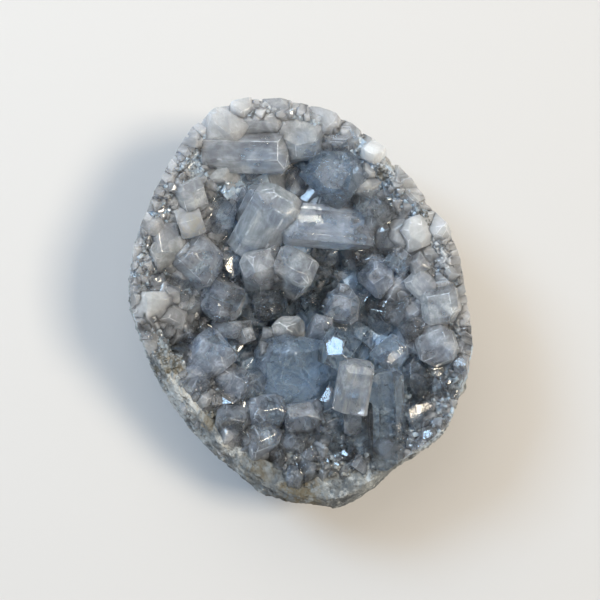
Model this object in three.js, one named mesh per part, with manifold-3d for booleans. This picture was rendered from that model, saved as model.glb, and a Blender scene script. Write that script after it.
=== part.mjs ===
// A celestite geode: the lower part of an egg-shaped nodule of marl, broken open across the top and lined
// with blocky blue-grey celestite crystals that grew inwards from its wall. It lies on a small flat spot.
// Two solids: the rock shell, and the crust of crystals, all grown together, that sits in its bowl.
// Millimetres, +Z up, +Y along the egg, the origin on the surface below the middle of the outline.

import * as THREE from "three";
import { ConvexGeometry } from "three/addons/geometries/ConvexGeometry.js";
import { ImprovedNoise } from "three/addons/math/ImprovedNoise.js";
import { mergeVertices } from "three/addons/utils/BufferGeometryUtils.js";
import Module from "manifold-3d";

const wasm = await Module();
wasm.setup();

// ---- Driving dimensions -------------------------------------------------------------------------------

// Distance from the vertical axis to the widest outline, every 15 degrees from +X round to +Y and on.
const OUTLINE = [
  36.8, 36.5, 35.6, 35.6, 37.5, 40.2, 43.2, 45.6, 45.3, 42.1, 39.8, 38.9,
  38.5, 37.2, 37.1, 37.4, 39.8, 43.0, 46.3, 46.4, 43.2, 43.9, 41.4, 39.3,
];
// The next four go round in steps of 45 degrees from +X.
const RIM_HEIGHT = [33, 35, 36, 35, 33, 30.5, 28, 30];
const RIM_INSET = [2.6, 3.3, 3.8, 2.7, 1.4, 3.2, 2.2, 1.4]; // how far the rim stands in from the outline
const WALL = [1.5, 1.4, 1.4, 1.4, 1.6, 2, 4.9, 2]; // the shell's thickness at the rim
const RUGGEDNESS = [1, 0.7, 0.9, 0.4, 0.4, 0.6, 0.8, 1.4]; // of the nodule's skin
const GRAIN_START = [0.9, 0.74, 0.96, 0.9, 0.82, 0.8, 0.74, 0.8]; // share of the bowl with coarse crystals

const WIDEST_HEIGHT = 20; // height of the widest outline
const FLAT_SHARE = 0.34; // the flat spot's size, as a share of the outline's
// The skin's rings from the flat spot up to just past the widest: share of the outline, and height.
const FLANK = [[0.56, 1.9], [0.73, 5], [0.86, 9], [0.95, 13.5], [0.99, 18], [0.998, 22.5]];
// The rings from there to the rim: shares of the way up and of the way in.
const SHOULDER = [[0.45, 0.22], [0.75, 0.55], [1, 1]];
const BOWL_SHARES = [0.4, 0.66, 0.86, 1]; // the bowl's rings, as shares of its radius
const CRUST_SHARES = [1.03, 0.92, 0.77, 0.57, 0.32]; // the massive crust's rings, from the rim inwards
const FLOOR_THICKNESS = 12; // rock under the middle of the bowl
const BOWL_POWER = 2.5; // how steeply the bowl climbs to its rim
const CRUST_THICKNESS = 11; // massive celestite under the crystals, in the middle of the bowl
const CRUST_POWER = 2.3;
const SEAT_GAP = 0.3; // clearance between the crust and the bowl
const OUTLINE_MIDDLE = [-0.3, -1.15]; // the middle of the outline's extents, set over the origin at the end

const SHELL_SEGMENTS = 54; // round the outline
const SEAT_SEGMENTS = 27; // round the crust's underside
const CRUST_SEGMENTS = 21; // round the crust's upper face

const LUMP_SIZE = 15; // broad swellings of the nodule
const LUMP_RISE = 0.9;
const KNOB_SIZE = 5.5; // knobs and dents on its skin
const KNOB_RISE = 0.6;
const BUMP_SIZE = 4.5; // bumps of the massive crust
const BUMP_RISE = 1.7;

const DOME_SLOPE = [48, 38]; // how far a crown's faces tilt from the end face, along depth and width
const BLUNT_WIDTH = 6.2; // main crystals wider than this have their long edges cut

const SMALL_CRYSTALS = 130; // places tried over the bowl
const CRYSTAL_WIDTH = [5.2, 8]; // the least and the most
const CRYSTAL_RISE = [0.3, 0.65]; // how far one stands out, as a share of its width
const GRAIN_WIDTH = [3.4, 5]; // near the rim
const GRAIN_RISE = [0.15, 0.4];
const SMALL_ROOT = 3.5; // how deep a small crystal reaches into the massive crust
const WALL_LEAN = 46; // degrees that crystals lean inwards at the rim

// The main crystals. Each row: tip x, y, z; heading, lean and roll in degrees; length, width and depth;
// and the crown's two shares.
const MAIN_CRYSTALS = [
  // The far side, hanging over the deepest part of the bowl.
  [[-3, 32.5, 33], [-4, 74, 0], [17, 7.6, 7.5], [0.45, 0.6]],
  [[-15, 35.5, 35.5], [-85, 42, 8], [13, 10, 8], [0.5, 0.8]],
  [[-19, 25.5, 31], [-88, 50, 0], [12, 5.8, 6], [0.4, 0.7]],
  [[-13, 25.5, 28], [-95, 50, 0], [11, 9, 7], [0.3, 0.8]],
  [[1, 32, 37], [-82, 46, 0], [15, 10.5, 8], [0.3, 0.35]],
  [[7, 33, 36], [-110, 42, 20], [12, 8.5, 7], [0.4, 0.6]],
  [[12, 31.5, 34.5], [-120, 30, 0], [11, 6.5, 6], [0.4, 0.5]],
  [[6, 27.5, 36], [200, 16, 25], [15, 11.5, 11], [0.62, 0.5]],
  [[12.5, 19.8, 34], [214, 58, 0], [14, 8.5, 7], [0.2, 0.3]],
  [[3, 25, 25], [-90, 30, 0], [10, 7, 6], [0.7, 0.8]],
  // The two pale blocks that cross in the upper middle, and their neighbours.
  [[-4.5, 23, 36.5], [54, 56, 6], [17, 8.6, 7.5], [0.5, 0.45]],
  [[-4.5, 16.5, 33], [178, 74, 4], [20, 8.9, 7.5], [0.35, 0.55]],
  [[-9, 9.5, 33.5], [150, 32, 15], [13, 8, 7.5], [0.5, 0.6]],
  [[-2, 8, 34], [12, 28, 20], [14, 10, 9], [0.55, 0.55]],
  [[-17.5, 19, 29], [-30, 36, 20], [12, 9, 9], [0.5, 0.6]],
  [[10.5, 10.5, 27.5], [200, 30, 30], [11, 8, 8], [0.4, 0.5]],
  [[17.5, 16.5, 31.5], [190, 44, 10], [10, 7, 6], [0.4, 0.6]],
  // The left bank.
  [[-23, 21.5, 35], [-20, 44, 40], [12, 6.4, 6], [0.55, 0.5]],
  [[-24, 14.5, 34.5], [-66, 56, 0], [12, 5, 5.5], [0.3, 0.4]],
  [[-30, 13.5, 33.5], [0, 34, 10], [9, 6.4, 5.5], [0.6, 0.55]],
  [[-20.5, 9, 33.5], [15, 38, 12], [13, 8.6, 8], [0.5, 0.5]],
  [[-31.5, 7, 33], [5, 30, 30], [8, 4.5, 4.5], [0.5, 0.5]],
  [[-33.5, 2.5, 32.5], [10, 35, 0], [8, 4, 4.5], [0.4, 0.6]],
  [[-26, 3, 31.5], [20, 35, 25], [9, 6, 6], [0.5, 0.5]],
  // The middle.
  [[-15.5, -1.5, 32], [-38, 38, 0], [13, 8.8, 8], [0.5, 0.75]],
  [[-12, -7, 30], [-20, 30, 30], [8, 4.2, 4], [0.3, 0.3]],
  [[-5.5, 0, 29.5], [10, 30, 0], [11, 6.2, 8], [0.6, 0.7]],
  [[-3, -6.5, 32], [60, 8, 30], [11, 6.8, 6.8], [0.12, 0.12]],
  [[8.5, -0.5, 31.5], [150, 10, 20], [12, 7.6, 7.2], [0.55, 0.5]],
  [[16, 5, 32], [190, 16, 35], [12, 7, 7], [0.45, 0.45]],
  [[6.5, -10, 34], [12, 7, 20], [14, 7.8, 7.6], [0.62, 0.6]],
  [[2, 0.5, 28], [80, 20, 45], [9, 5, 5], [0.3, 0.4]],
  // The lower left: a block turned up on end, and the broad block beside it.
  [[-18, -10, 31.5], [42, 48, 0], [16, 9.6, 9], [0.5, 0.65]],
  [[-14, -15, 29], [62, 46, 0], [14, 8.5, 7], [0.5, 0.6]],
  [[-2, -14.5, 33], [80, 33, 8], [17, 17, 12], [0.55, 0.62]],
  [[-26, -14, 29], [45, 40, 20], [9, 6, 5.5], [0.5, 0.5]],
  [[-14.5, -24.5, 30], [70, 28, 15], [10, 7, 6.5], [0.5, 0.5]],
  [[-8.5, -28.5, 30], [85, 30, 30], [10, 7, 6.5], [0.5, 0.5]],
  [[0.5, -26, 28.5], [95, 36, 10], [11, 9, 6.5], [0.4, 0.7]],
  // The pale upright block with its small neighbour, and the long dark prisms that run to the rim.
  [[11.5, -14, 37], [82, 66, 0], [11, 7.4, 6], [0.75, 0.7]],
  [[11, -29.5, 31], [-88, 66, 0], [9, 3.8, 4], [0.2, 0.4]],
  [[18, -17.5, 31.5], [96, 68, 0], [20, 7.6, 7], [0.6, 0.8]],
  [[12.8, -22.5, 27.5], [92, 74, 0], [15, 5.5, 5], [0.6, 0.8]],
  [[24, -22.5, 31.5], [120, 50, 10], [11, 6, 5.5], [0.4, 0.5]],
  [[18.5, -10, 32], [110, 34, 20], [12, 7.5, 7], [0.5, 0.5]],
  // The right bank.
  [[29, -1.5, 36], [180, 22, 8], [12, 7.8, 7.8], [0.65, 0.65]],
  [[28, -9.5, 35], [172, 26, 25], [12, 8.6, 8], [0.6, 0.55]],
  [[23, -6.5, 33], [180, 30, 0], [10, 5, 5], [0.4, 0.4]],
  [[20.5, 8.5, 34], [200, 26, 30], [10, 5.6, 5.2], [0.5, 0.5]],
  [[24.5, 7.5, 35], [200, 24, 10], [9, 4.4, 4.4], [0.4, 0.4]],
  [[22.5, 21.5, 35.5], [225, 40, 0], [9, 5, 4], [0.6, 0.6]],
  [[29.5, -18, 31.5], [160, 35, 30], [8, 5, 5], [0.5, 0.5]],
];

// Gaps between the crystals, open down to the massive crust: x, y and radius.
const RECESSES = [
  [-19.5, -4.5, 5.5],
  [4, 7, 4],
  [-4, 29.5, 3],
  [-6, 15.5, 3],
  [3, 26, 3.5],
  [-27, -9.5, 3.5],
  [7.5, 16, 4],
];

// ---- Helpers ------------------------------------------------------------------------------------------

const GOLDEN_ANGLE = Math.PI * (3 - Math.sqrt(5));
const radians = THREE.MathUtils.degToRad;
const noise = new ImprovedNoise();

/** A smooth closed curve through values that are spread evenly round the circle. */
function around(values, angle) {
  const place = THREE.MathUtils.euclideanModulo(angle / (2 * Math.PI), 1) * values.length;
  const step = Math.floor(place);
  const t = place - step;
  const [a, b, c, d] = [-1, 0, 1, 2].map((k) => values[(step + k + values.length) % values.length]);
  return b + 0.5 * t * (c - a + t * (2 * a - 5 * b + 4 * c - d + t * (3 * (b - c) + d - a)));
}

/** Repeatable random numbers. */
class Chance {
  constructor(seed) {
    this.state = seed >>> 0;
    this.between(0, 1);
  }
  between(low, high) {
    this.state = (Math.imul(this.state, 1664525) + 1013904223) >>> 0;
    return low + ((high - low) * this.state) / 2 ** 32;
  }
}

/** A closed geometry as a solid that can be cut and joined. */
function solidOf(geometry) {
  const bare = geometry.clone();
  bare.deleteAttribute("normal");
  bare.deleteAttribute("uv");
  const merged = mergeVertices(bare, 1e-3);
  return new wasm.Manifold(
    new wasm.Mesh({
      numProp: 3,
      vertProperties: merged.attributes.position.array,
      triVerts: new Uint32Array(merged.index.array),
    }),
  );
}

/** A solid's faces as a geometry. */
function geometryOf(solid) {
  const { numProp, vertProperties, triVerts } = solid.getMesh();
  const geometry = new THREE.BufferGeometry();
  const interleaved = new THREE.InterleavedBuffer(vertProperties, numProp);
  geometry.setAttribute("position", new THREE.InterleavedBufferAttribute(interleaved, 3, 0));
  geometry.setIndex(new THREE.BufferAttribute(triVerts, 1));
  const flat = geometry.toNonIndexed();
  flat.computeVertexNormals();
  return flat;
}

/** Turns a profile round the axis, with each ring's radius and height worked out anew for each direction. */
function turned(stations, segments) {
  const nominal = stations.map((_, j) => new THREE.Vector2(j % (stations.length - 1) ? 1 : 0, j));
  const geometry = new THREE.LatheGeometry(nominal, segments);
  const position = geometry.attributes.position;
  for (let k = 0; k < position.count; k++) {
    const angle = (2 * Math.PI * (Math.floor(k / stations.length) % segments)) / segments;
    const [radius, height] = stations[k % stations.length](angle);
    position.setXYZ(k, radius * Math.cos(angle), radius * Math.sin(angle), height);
  }
  return geometry;
}

// ---- Form of the nodule and its bowl ------------------------------------------------------------------

const outline = (angle) => around(OUTLINE, angle);
const rimRadius = (angle) => outline(angle) - around(RIM_INSET, angle);
const rimHeight = (angle) => around(RIM_HEIGHT, angle);
const bowlRadius = (angle) => rimRadius(angle) - around(WALL, angle);

/** Height of the rock under the crust, at a share of the bowl's radius. */
function bowlHeight(angle, share) {
  return FLOOR_THICKNESS + (rimHeight(angle) - 1 - FLOOR_THICKNESS) * share ** BOWL_POWER;
}

/** Height of the massive crust between its crystals, at a share of the bowl's radius. */
function crustHeight(angle, share) {
  const middle = FLOOR_THICKNESS + CRUST_THICKNESS;
  return middle + (rimHeight(angle) + 0.6 - middle) * share ** CRUST_POWER;
}

/** Swellings and knobs of a rough surface at a point. */
function roughness(x, y, z, size, rise) {
  return rise * noise.noise(x / size + 7.3, y / size + 2.1, z / size + 4.7) * 2;
}

/** How far the nodule's skin stands out at a place. */
function lump(angle, radius, height) {
  const [x, y] = [radius * Math.cos(angle), radius * Math.sin(angle)];
  const swelling = roughness(x, y, height, LUMP_SIZE, LUMP_RISE);
  const knob = roughness(x, y, height, KNOB_SIZE, KNOB_RISE);
  return (swelling + knob) * around(RUGGEDNESS, angle);
}

/** The rock shell, from the flat spot up its skin, over the rim and down the bowl to the axis. */
function rockShell() {
  const skin = ([share, height]) => (angle) => {
    const radius = share * outline(angle);
    const out = lump(angle, radius, height);
    return [radius + out, height + 0.25 * out];
  };
  const shoulder = ([lift, inset]) => (angle) => {
    const radius = outline(angle) - inset * around(RIM_INSET, angle);
    const height = WIDEST_HEIGHT + lift * (rimHeight(angle) - WIDEST_HEIGHT);
    const out = lump(angle, radius, height);
    return [radius + 0.7 * out, height + 0.5 * out];
  };
  const bowl = (share) => (angle) => [share * bowlRadius(angle), bowlHeight(angle, share)];
  const stations = [
    () => [0, 0],
    (angle) => [FLAT_SHARE * outline(angle), 0],
    ...FLANK.map(skin),
    ...SHOULDER.map(shoulder),
    ...BOWL_SHARES.map(bowl).reverse(),
    () => [0, FLOOR_THICKNESS],
  ];
  return turned(stations, SHELL_SEGMENTS);
}

/** Everything that lies inside the bowl and above the rim, clear of the rock by the seat gap. */
function roomOverShell() {
  const over = 55; // higher than any crystal
  const overhang = (angle) => 0.97 * outline(angle);
  const rimTop = (angle) => rimHeight(angle) + 3 * SEAT_GAP;
  const bowl = (share) => (angle) => [
    share * (bowlRadius(angle) - SEAT_GAP),
    bowlHeight(angle, share) + SEAT_GAP,
  ];
  const stations = [
    () => [0, FLOOR_THICKNESS + SEAT_GAP],
    ...BOWL_SHARES.map(bowl),
    (angle) => [rimRadius(angle), rimTop(angle)],
    (angle) => [overhang(angle), rimTop(angle)],
    (angle) => [overhang(angle), over],
    () => [0, over],
  ];
  return turned(stations, SEAT_SEGMENTS);
}

/** The massive celestite that the crystals stand on. */
function crustBase() {
  const top = (share) => (angle) => {
    const radius = share * bowlRadius(angle);
    const height = crustHeight(angle, share);
    const [x, y] = [radius * Math.cos(angle), radius * Math.sin(angle)];
    return [radius, height + roughness(x, y, height, BUMP_SIZE, BUMP_RISE)];
  };
  const stations = [
    () => [0, 0],
    (angle) => [bowlRadius(angle), 0],
    ...CRUST_SHARES.map(top),
    () => [0, crustHeight(0, 0)],
  ];
  return turned(stations, CRUST_SEGMENTS);
}

// ---- Crystals -----------------------------------------------------------------------------------------

/** The flat-faced block that lies inside all of the planes, each a normal and a distance. */
function cutBlock(planes) {
  const corners = [];
  const cross = (a, b) => new THREE.Vector3().crossVectors(a, b);
  for (let i = 0; i < planes.length; i++)
    for (let j = i + 1; j < planes.length; j++)
      for (let k = j + 1; k < planes.length; k++) {
        const [a, b, c] = [planes[i], planes[j], planes[k]];
        const spread = a.normal.dot(cross(b.normal, c.normal));
        if (Math.abs(spread) < 1e-6) continue;
        const corner = cross(b.normal, c.normal)
          .multiplyScalar(a.distance)
          .addScaledVector(cross(c.normal, a.normal), b.distance)
          .addScaledVector(cross(a.normal, b.normal), c.distance)
          .divideScalar(spread);
        const inside = planes.every((p) => p.normal.dot(corner) <= p.distance + 1e-6);
        const isNew = corners.every((other) => other.distanceTo(corner) > 1e-3);
        if (inside && isNew) corners.push(corner);
      }
  return new ConvexGeometry(corners);
}

/**
 * One crystal with its end face at the origin and its root below: a prism under a crown of dome faces, with
 * its long edges cut if it is blunt. The crown's two numbers are the end face's share of the depth and width.
 */
function crystalGeometry([length, width, depth], [crownDepth, crownWidth], isBlunt, chance) {
  const planes = [];
  const plane = (x, y, z, distance) => {
    const normal = new THREE.Vector3(x, y, z);
    const size = normal.length();
    planes.push({ normal: normal.divideScalar(size), distance: distance / size });
  };
  const [halfDepth, halfWidth] = [depth / 2, width / 2];
  plane(0, 0, 1, 0);
  plane(0, 0, -1, length);
  for (const side of [1, -1]) {
    plane(side, 0, 0, halfDepth * chance.between(0.92, 1.02));
    plane(0, side, 0, halfWidth * chance.between(0.92, 1.02));
    const [slopeDepth, slopeWidth] = DOME_SLOPE.map((slope) => radians(slope + chance.between(-7, 7)));
    const [shareDepth, shareWidth] = [crownDepth, crownWidth].map((share) => share * chance.between(0.7, 1.25));
    plane(side, 0, 1 / Math.tan(slopeDepth), shareDepth * halfDepth);
    plane(0, side, 1 / Math.tan(slopeWidth), shareWidth * halfWidth);
    if (isBlunt)
      for (const other of [1, -1]) plane(side / halfDepth, other / halfWidth, 0, chance.between(1.3, 1.8));
  }
  return cutBlock(planes);
}

/** Sets a crystal's tip at a place, leaning by lean degrees from upright towards heading, and rolled. */
function grownAt([x, y, z], [heading, lean, roll], size, crown, isBlunt, seed) {
  const turn = new THREE.Matrix4()
    .makeTranslation(x, y, z)
    .multiply(new THREE.Matrix4().makeRotationZ(radians(heading)))
    .multiply(new THREE.Matrix4().makeRotationY(radians(lean)))
    .multiply(new THREE.Matrix4().makeRotationZ(radians(roll)));
  return crystalGeometry(size, crown, isBlunt, new Chance(seed)).applyMatrix4(turn);
}

/** The smaller crystals that fill the bowl between the main ones, set out in a sunflower spiral. */
function smallCrystals() {
  const made = [];
  for (let i = 0; i < SMALL_CRYSTALS; i++) {
    const chance = new Chance(5000 + 97 * i);
    const angle = i * GOLDEN_ANGLE + chance.between(-0.12, 0.12);
    const share = 0.97 * Math.sqrt((i + 0.5) / SMALL_CRYSTALS);
    const radius = share * bowlRadius(angle);
    const [x, y] = [radius * Math.cos(angle), radius * Math.sin(angle)];
    const covered = MAIN_CRYSTALS.some(([tip, , size]) => Math.hypot(tip[0] - x, tip[1] - y) < 0.36 * size[1]);
    const recessed = RECESSES.some(([rx, ry, room]) => Math.hypot(rx - x, ry - y) < room);
    if (covered || recessed) continue;
    const isGrain = share > around(GRAIN_START, angle);
    const across = chance.between(...(isGrain ? GRAIN_WIDTH : CRYSTAL_WIDTH));
    const rise = across * chance.between(...(isGrain ? GRAIN_RISE : CRYSTAL_RISE));
    const heading = THREE.MathUtils.radToDeg(angle) + 180 + chance.between(-45, 45);
    const lean = WALL_LEAN * share + chance.between(-16, 16);
    const tip = [x, y, crustHeight(angle, share) + rise];
    const size = [rise + SMALL_ROOT, across, across * chance.between(0.75, 1)];
    const crown = [chance.between(0.1, 0.6), chance.between(0.25, 0.7)];
    made.push(grownAt(tip, [heading, lean, chance.between(0, 180)], size, crown, false, 9000 + i));
  }
  return made;
}

/** The crust: the massive celestite and every crystal joined, trimmed to the room over the shell. */
function crystalCrust() {
  const main = MAIN_CRYSTALS.map(([tip, turn, size, crown], i) =>
    grownAt(tip, turn, size, crown, size[1] > BLUNT_WIDTH, 100 + i),
  );
  const grown = [crustBase(), ...main, ...smallCrystals()].map(solidOf);
  const joined = wasm.Manifold.union(grown).intersect(solidOf(roomOverShell()));
  const pieces = joined.simplify(0.05).decompose().sort((a, b) => b.volume() - a.volume());
  return geometryOf(pieces[0]);
}

// ---- The object ---------------------------------------------------------------------------------------

const shell = new THREE.Mesh(
  rockShell(),
  new THREE.MeshStandardMaterial({ color: 0x9b9789, roughness: 0.9, metalness: 0 }),
);
shell.name = "rock_shell";

const crust = new THREE.Mesh(
  crystalCrust(),
  new THREE.MeshStandardMaterial({ color: 0x8c98a5, roughness: 0.25, metalness: 0 }),
);
crust.name = "crystal_crust";

const geode = new THREE.Group();
geode.add(shell, crust);
geode.position.set(-OUTLINE_MIDDLE[0], -OUTLINE_MIDDLE[1], 0);

export default geode;
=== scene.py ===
"""A celestite geode: see-through blocky crystals that line the bowl of a broken rock nodule.

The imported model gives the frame. Sizes and places are in millimetres, as in the construction, and a
mesh is turned to metres when it is done.
"""

import logging
import math
from collections.abc import Iterator
from dataclasses import dataclass, field, replace
from typing import ClassVar

import bmesh
import bpy
from mathutils import Matrix, Vector, noise


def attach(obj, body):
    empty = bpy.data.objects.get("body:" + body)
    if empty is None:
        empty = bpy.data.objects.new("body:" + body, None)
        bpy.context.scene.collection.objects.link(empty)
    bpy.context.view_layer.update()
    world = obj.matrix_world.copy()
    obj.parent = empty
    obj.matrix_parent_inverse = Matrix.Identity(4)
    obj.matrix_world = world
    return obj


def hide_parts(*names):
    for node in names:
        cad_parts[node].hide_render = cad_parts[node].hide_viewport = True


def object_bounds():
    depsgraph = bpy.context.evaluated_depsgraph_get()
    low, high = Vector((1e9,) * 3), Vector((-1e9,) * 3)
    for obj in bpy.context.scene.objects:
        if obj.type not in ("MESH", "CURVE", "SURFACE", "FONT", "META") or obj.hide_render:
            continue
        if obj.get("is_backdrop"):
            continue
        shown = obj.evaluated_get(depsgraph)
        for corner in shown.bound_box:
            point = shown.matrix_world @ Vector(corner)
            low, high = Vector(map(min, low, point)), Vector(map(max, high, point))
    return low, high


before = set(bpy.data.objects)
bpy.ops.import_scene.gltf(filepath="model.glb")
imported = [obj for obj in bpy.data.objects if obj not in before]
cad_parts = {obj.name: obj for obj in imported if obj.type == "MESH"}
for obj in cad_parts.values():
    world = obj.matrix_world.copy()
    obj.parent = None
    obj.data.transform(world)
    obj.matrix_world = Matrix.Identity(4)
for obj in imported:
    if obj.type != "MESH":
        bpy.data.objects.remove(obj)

log = logging.getLogger("geode")

MM = 0.001  # in metres
CAD_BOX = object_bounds()
OUTLINE_MIDDLE = Vector((-0.3, -1.15, 0))  # the place in the tables that is the frame's origin
GOLDEN_ANGLE = math.pi * (3 - math.sqrt(5))
CELESTITE_INDEX = 1.62

Pair = tuple[float, float]
Triple = tuple[float, float, float]
Colour = tuple[float, float, float, float]


def srgb(red: int, green: int, blue: int) -> Colour:
    """Turn a screen colour into the linear one that shaders take.

    Args:
        red: Screen value from 0 to 255.
        green: Screen value from 0 to 255.
        blue: Screen value from 0 to 255.

    Returns:
        The linear colour with full alpha.
    """
    linear = [
        value / 255 / 12.92 if value < 11 else ((value / 255 + 0.055) / 1.055) ** 2.4
        for value in (red, green, blue)
    ]
    return (linear[0], linear[1], linear[2], 1.0)


class Chance:
    """Repeatable random numbers, in the same series as the construction's."""

    FACTOR: ClassVar[int] = 1664525
    ADDED: ClassVar[int] = 1013904223
    RANGE: ClassVar[int] = 2**32

    def __init__(self, seed: int) -> None:
        """Start the series that a seed names."""
        self.state = seed % self.RANGE
        self.between(0, 1)

    def between(self, low: float, high: float) -> float:
        """Return the next number between two limits."""
        self.state = (self.state * self.FACTOR + self.ADDED) % self.RANGE
        return low + (high - low) * self.state / self.RANGE


def ramp(value: float, start: float, width: float) -> float:
    """Return 0 up to a start, and from there a straight rise to 1 over a width."""
    return min(1.0, max(0.0, (value - start) / width))


def direction(turn: float, lean: float) -> Vector:
    """Return the direction that leans from upright towards a turn from +X, both in radians."""
    flat = math.sin(lean)
    return Vector((flat * math.cos(turn), flat * math.sin(turn), math.cos(lean)))


# ---- Shader graphs ------------------------------------------------------------------------------------


class Wire:
    """An output socket whose arithmetic adds Math nodes."""

    def __init__(self, graph: "Graph", socket: bpy.types.NodeSocket) -> None:
        """Hold a socket and the graph it is in."""
        self.graph = graph
        self.socket = socket

    def output(self, name: str) -> "Wire":
        """Return another output of the same node."""
        return Wire(self.graph, self.socket.node.outputs[name])

    def _math(self, operation: str, first: "Wire | float", second: "Wire | float") -> "Wire":
        """Return the result of a Math node on two values."""
        return self.graph.node("ShaderNodeMath", {"operation": operation}, {0: first, 1: second})

    def __add__(self, other: "Wire | float") -> "Wire":
        """Return the sum."""
        return self._math("ADD", self, other)

    __radd__ = __add__

    def __sub__(self, other: "Wire | float") -> "Wire":
        """Return the difference."""
        return self._math("SUBTRACT", self, other)

    def __rsub__(self, other: "Wire | float") -> "Wire":
        """Return the difference, the other way round."""
        return self._math("SUBTRACT", other, self)

    def __mul__(self, other: "Wire | float") -> "Wire":
        """Return the product."""
        return self._math("MULTIPLY", self, other)

    __rmul__ = __mul__

    def __pow__(self, other: "Wire | float") -> "Wire":
        """Return the power."""
        return self._math("POWER", self, other)

    def step(self, start: float, end: float, low: float = 0.0, high: float = 1.0) -> "Wire":
        """Return a smooth step from low at start to high at end."""
        inputs = {"Value": self, "From Min": start, "From Max": end, "To Min": low, "To Max": high}
        return self.graph.node("ShaderNodeMapRange", {"interpolation_type": "SMOOTHSTEP"}, inputs)

    def clamped(self) -> "Wire":
        """Return the value held between 0 and 1."""
        return self.graph.node("ShaderNodeClamp", {}, {"Value": self})


class Graph:
    """The node tree of one material."""

    def __init__(self, name: str) -> None:
        """Make an empty material.

        Args:
            name: The material's name.
        """
        self.material = bpy.data.materials.new(name)
        self.material.use_nodes = True
        self.tree = self.material.node_tree
        self.tree.nodes.clear()

    def node(
        self,
        kind: str,
        settings: dict[str, object],
        inputs: dict[str | int, object],
        output: str | int = 0,
    ) -> Wire:
        """Add a node.

        Args:
            kind: The node's type.
            settings: Its settings, such as a Math node's operation.
            inputs: Values or wires for its sockets, by name or number.
            output: The output to return.

        Returns:
            The wire from that output.
        """
        made = self.tree.nodes.new(kind)
        for name, value in settings.items():
            setattr(made, name, value)
        for name, value in inputs.items():
            if isinstance(value, Wire):
                self.tree.links.new(value.socket, made.inputs[name])
            else:
                made.inputs[name].default_value = value
        return Wire(self, made.outputs[output])

    def place(self) -> Wire:
        """Return the place on the object, in millimetres."""
        metres = self.node("ShaderNodeTexCoord", {}, {}, "Object")
        return self.node("ShaderNodeVectorMath", {"operation": "SCALE"}, {0: metres, "Scale": 1 / MM})

    def attribute(self, name: str, output: str) -> Wire:
        """Return an attribute of the mesh."""
        return self.node("ShaderNodeAttribute", {"attribute_name": name}, {}, output)

    def noise(
        self, place: Wire, size: float, detail: float = 3, roughness: float = 0.55, twist: float = 0
    ) -> Wire:
        """Return soft noise.

        Args:
            place: Where it is read.
            size: The size of its blotches, in millimetres.
            detail: How many finer layers it has.
            roughness: How much each of them counts.
            twist: How far it is distorted.

        Returns:
            The noise, from 0 to 1.
        """
        inputs = {"Vector": place, "Scale": 1 / size, "Detail": detail}
        inputs |= {"Roughness": roughness, "Distortion": twist}
        return self.node("ShaderNodeTexNoise", {}, inputs)

    def ridge(self, value: Wire, level: float, width: float) -> Wire:
        """Return 1 where a value passes a level, falling to 0 over a width."""
        away = self.node("ShaderNodeMath", {"operation": "ABSOLUTE"}, {0: value - level})
        return away.step(width, 0)

    def stretched(self, place: Wire, scale: Triple) -> Wire:
        """Return a place that is scaled along its axes."""
        return self.node("ShaderNodeVectorMath", {"operation": "MULTIPLY"}, {0: place, 1: scale})

    def blend(self, factor: Wire | float, first: Wire | Colour, second: Wire | Colour) -> Wire:
        """Return a colour between two colours."""
        return self.node("ShaderNodeMix", {"data_type": "RGBA"}, {0: factor, 6: first, 7: second}, 2)

    def bump(self, height: Wire) -> Wire:
        """Return a normal for a height in millimetres."""
        return self.node("ShaderNodeBump", {}, {"Strength": 1.0, "Distance": MM, "Height": height})

    def surface(self, **sockets: object) -> Wire:
        """Return a Principled shader with its sockets given by name, with _ for a space."""
        inputs = {name.replace("_", " "): value for name, value in sockets.items()}
        return self.node("ShaderNodeBsdfPrincipled", {}, inputs)

    def finish(self, surface: Wire, volume: Wire | None = None) -> bpy.types.Material:
        """Link the shaders to the output.

        Args:
            surface: The shader of the surface.
            volume: The shader of what is inside, if it isn't empty.

        Returns:
            The material.
        """
        output = self.tree.nodes.new("ShaderNodeOutputMaterial")
        self.tree.links.new(surface.socket, output.inputs["Surface"])
        if volume is not None:
            self.tree.links.new(volume.socket, output.inputs["Volume"])
        return self.material


# ---- Finishes -----------------------------------------------------------------------------------------


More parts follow.
